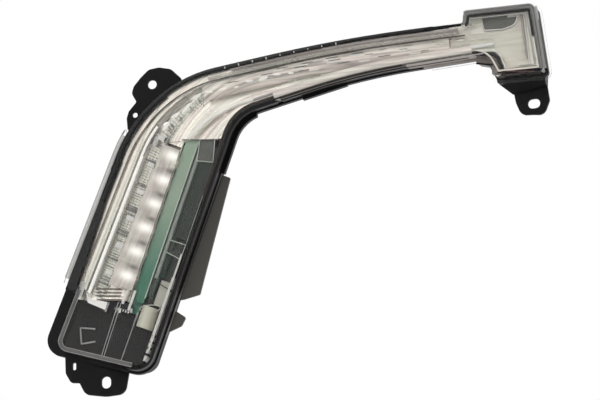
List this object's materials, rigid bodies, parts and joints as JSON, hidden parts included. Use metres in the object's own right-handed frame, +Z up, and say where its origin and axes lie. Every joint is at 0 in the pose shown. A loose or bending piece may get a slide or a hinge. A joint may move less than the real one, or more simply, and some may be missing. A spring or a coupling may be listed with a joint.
{
  "type": "daytime running light",
  "caption": "L-shaped front daytime running light: clear lens over a silver reflector, light guide and lit cells, in a black housing with fixing tabs and a rear socket.",
  "frame": {"origin": "centre of the round fixing hole, on the front face of the upper tab", "axes": "+Z up, +X along the arm away from the leg, -Y out of the lens"},
  "size_m": [0.369, 0.087, 0.2736],
  "materials": {
    "black_plastic": "moulded, slightly satin",
    "clear_lens": "polished polycarbonate",
    "black_glue": "cured sealant",
    "silver_coat": "vacuum-metallised plastic",
    "clear_optic": "moulded acrylic",
    "circuit_green": "solder mask",
    "led_package": "white package with a pale yellow phosphor",
    "dark_aluminium": "dark anodised",
    "screw_steel": "zinc plated",
    "cream_plastic": "plain nylon",
    "tin_plate": "tinned",
    "contact_brass": "bright",
    "seal_rubber": "matt",
    "ferrite": "matt ferrite with varnished wire",
    "can_aluminium": "bright can"
  },
  "bodies": {
    "root": {"rear_housing": "black_plastic", "outer_lens": "clear_lens", "sealant_bead": "black_glue", "reflector_bezel": "silver_coat", "light_guide": "clear_optic", "leg_reflector": "silver_coat", "arm_reflector": "silver_coat", "end_box_reflector": "silver_coat", "leg_circuit_board": "circuit_green", "leg_leds": "led_package", "heat_sink": "dark_aluminium", "heat_sink_screws": "screw_steel", "board_carrier": "clear_optic", "board_connector": "black_plastic", "connector_pins": "tin_plate", "lead_connector": "cream_plastic", "lead_sleeve": "cream_plastic", "side_diffuser": "cream_plastic", "compartment_cover": "black_plastic", "driver_board": "circuit_green", "driver_screws": "screw_steel", "driver_choke": "ferrite", "driver_capacitors": "can_aluminium", "driver_chips": "black_plastic", "arm_circuit_board": "circuit_green", "arm_leds": "led_package", "power_socket": "black_plastic", "socket_seal": "seal_rubber", "socket_terminals": "contact_brass", "breather_cap": "seal_rubber"}
  },
  "joints": []
}
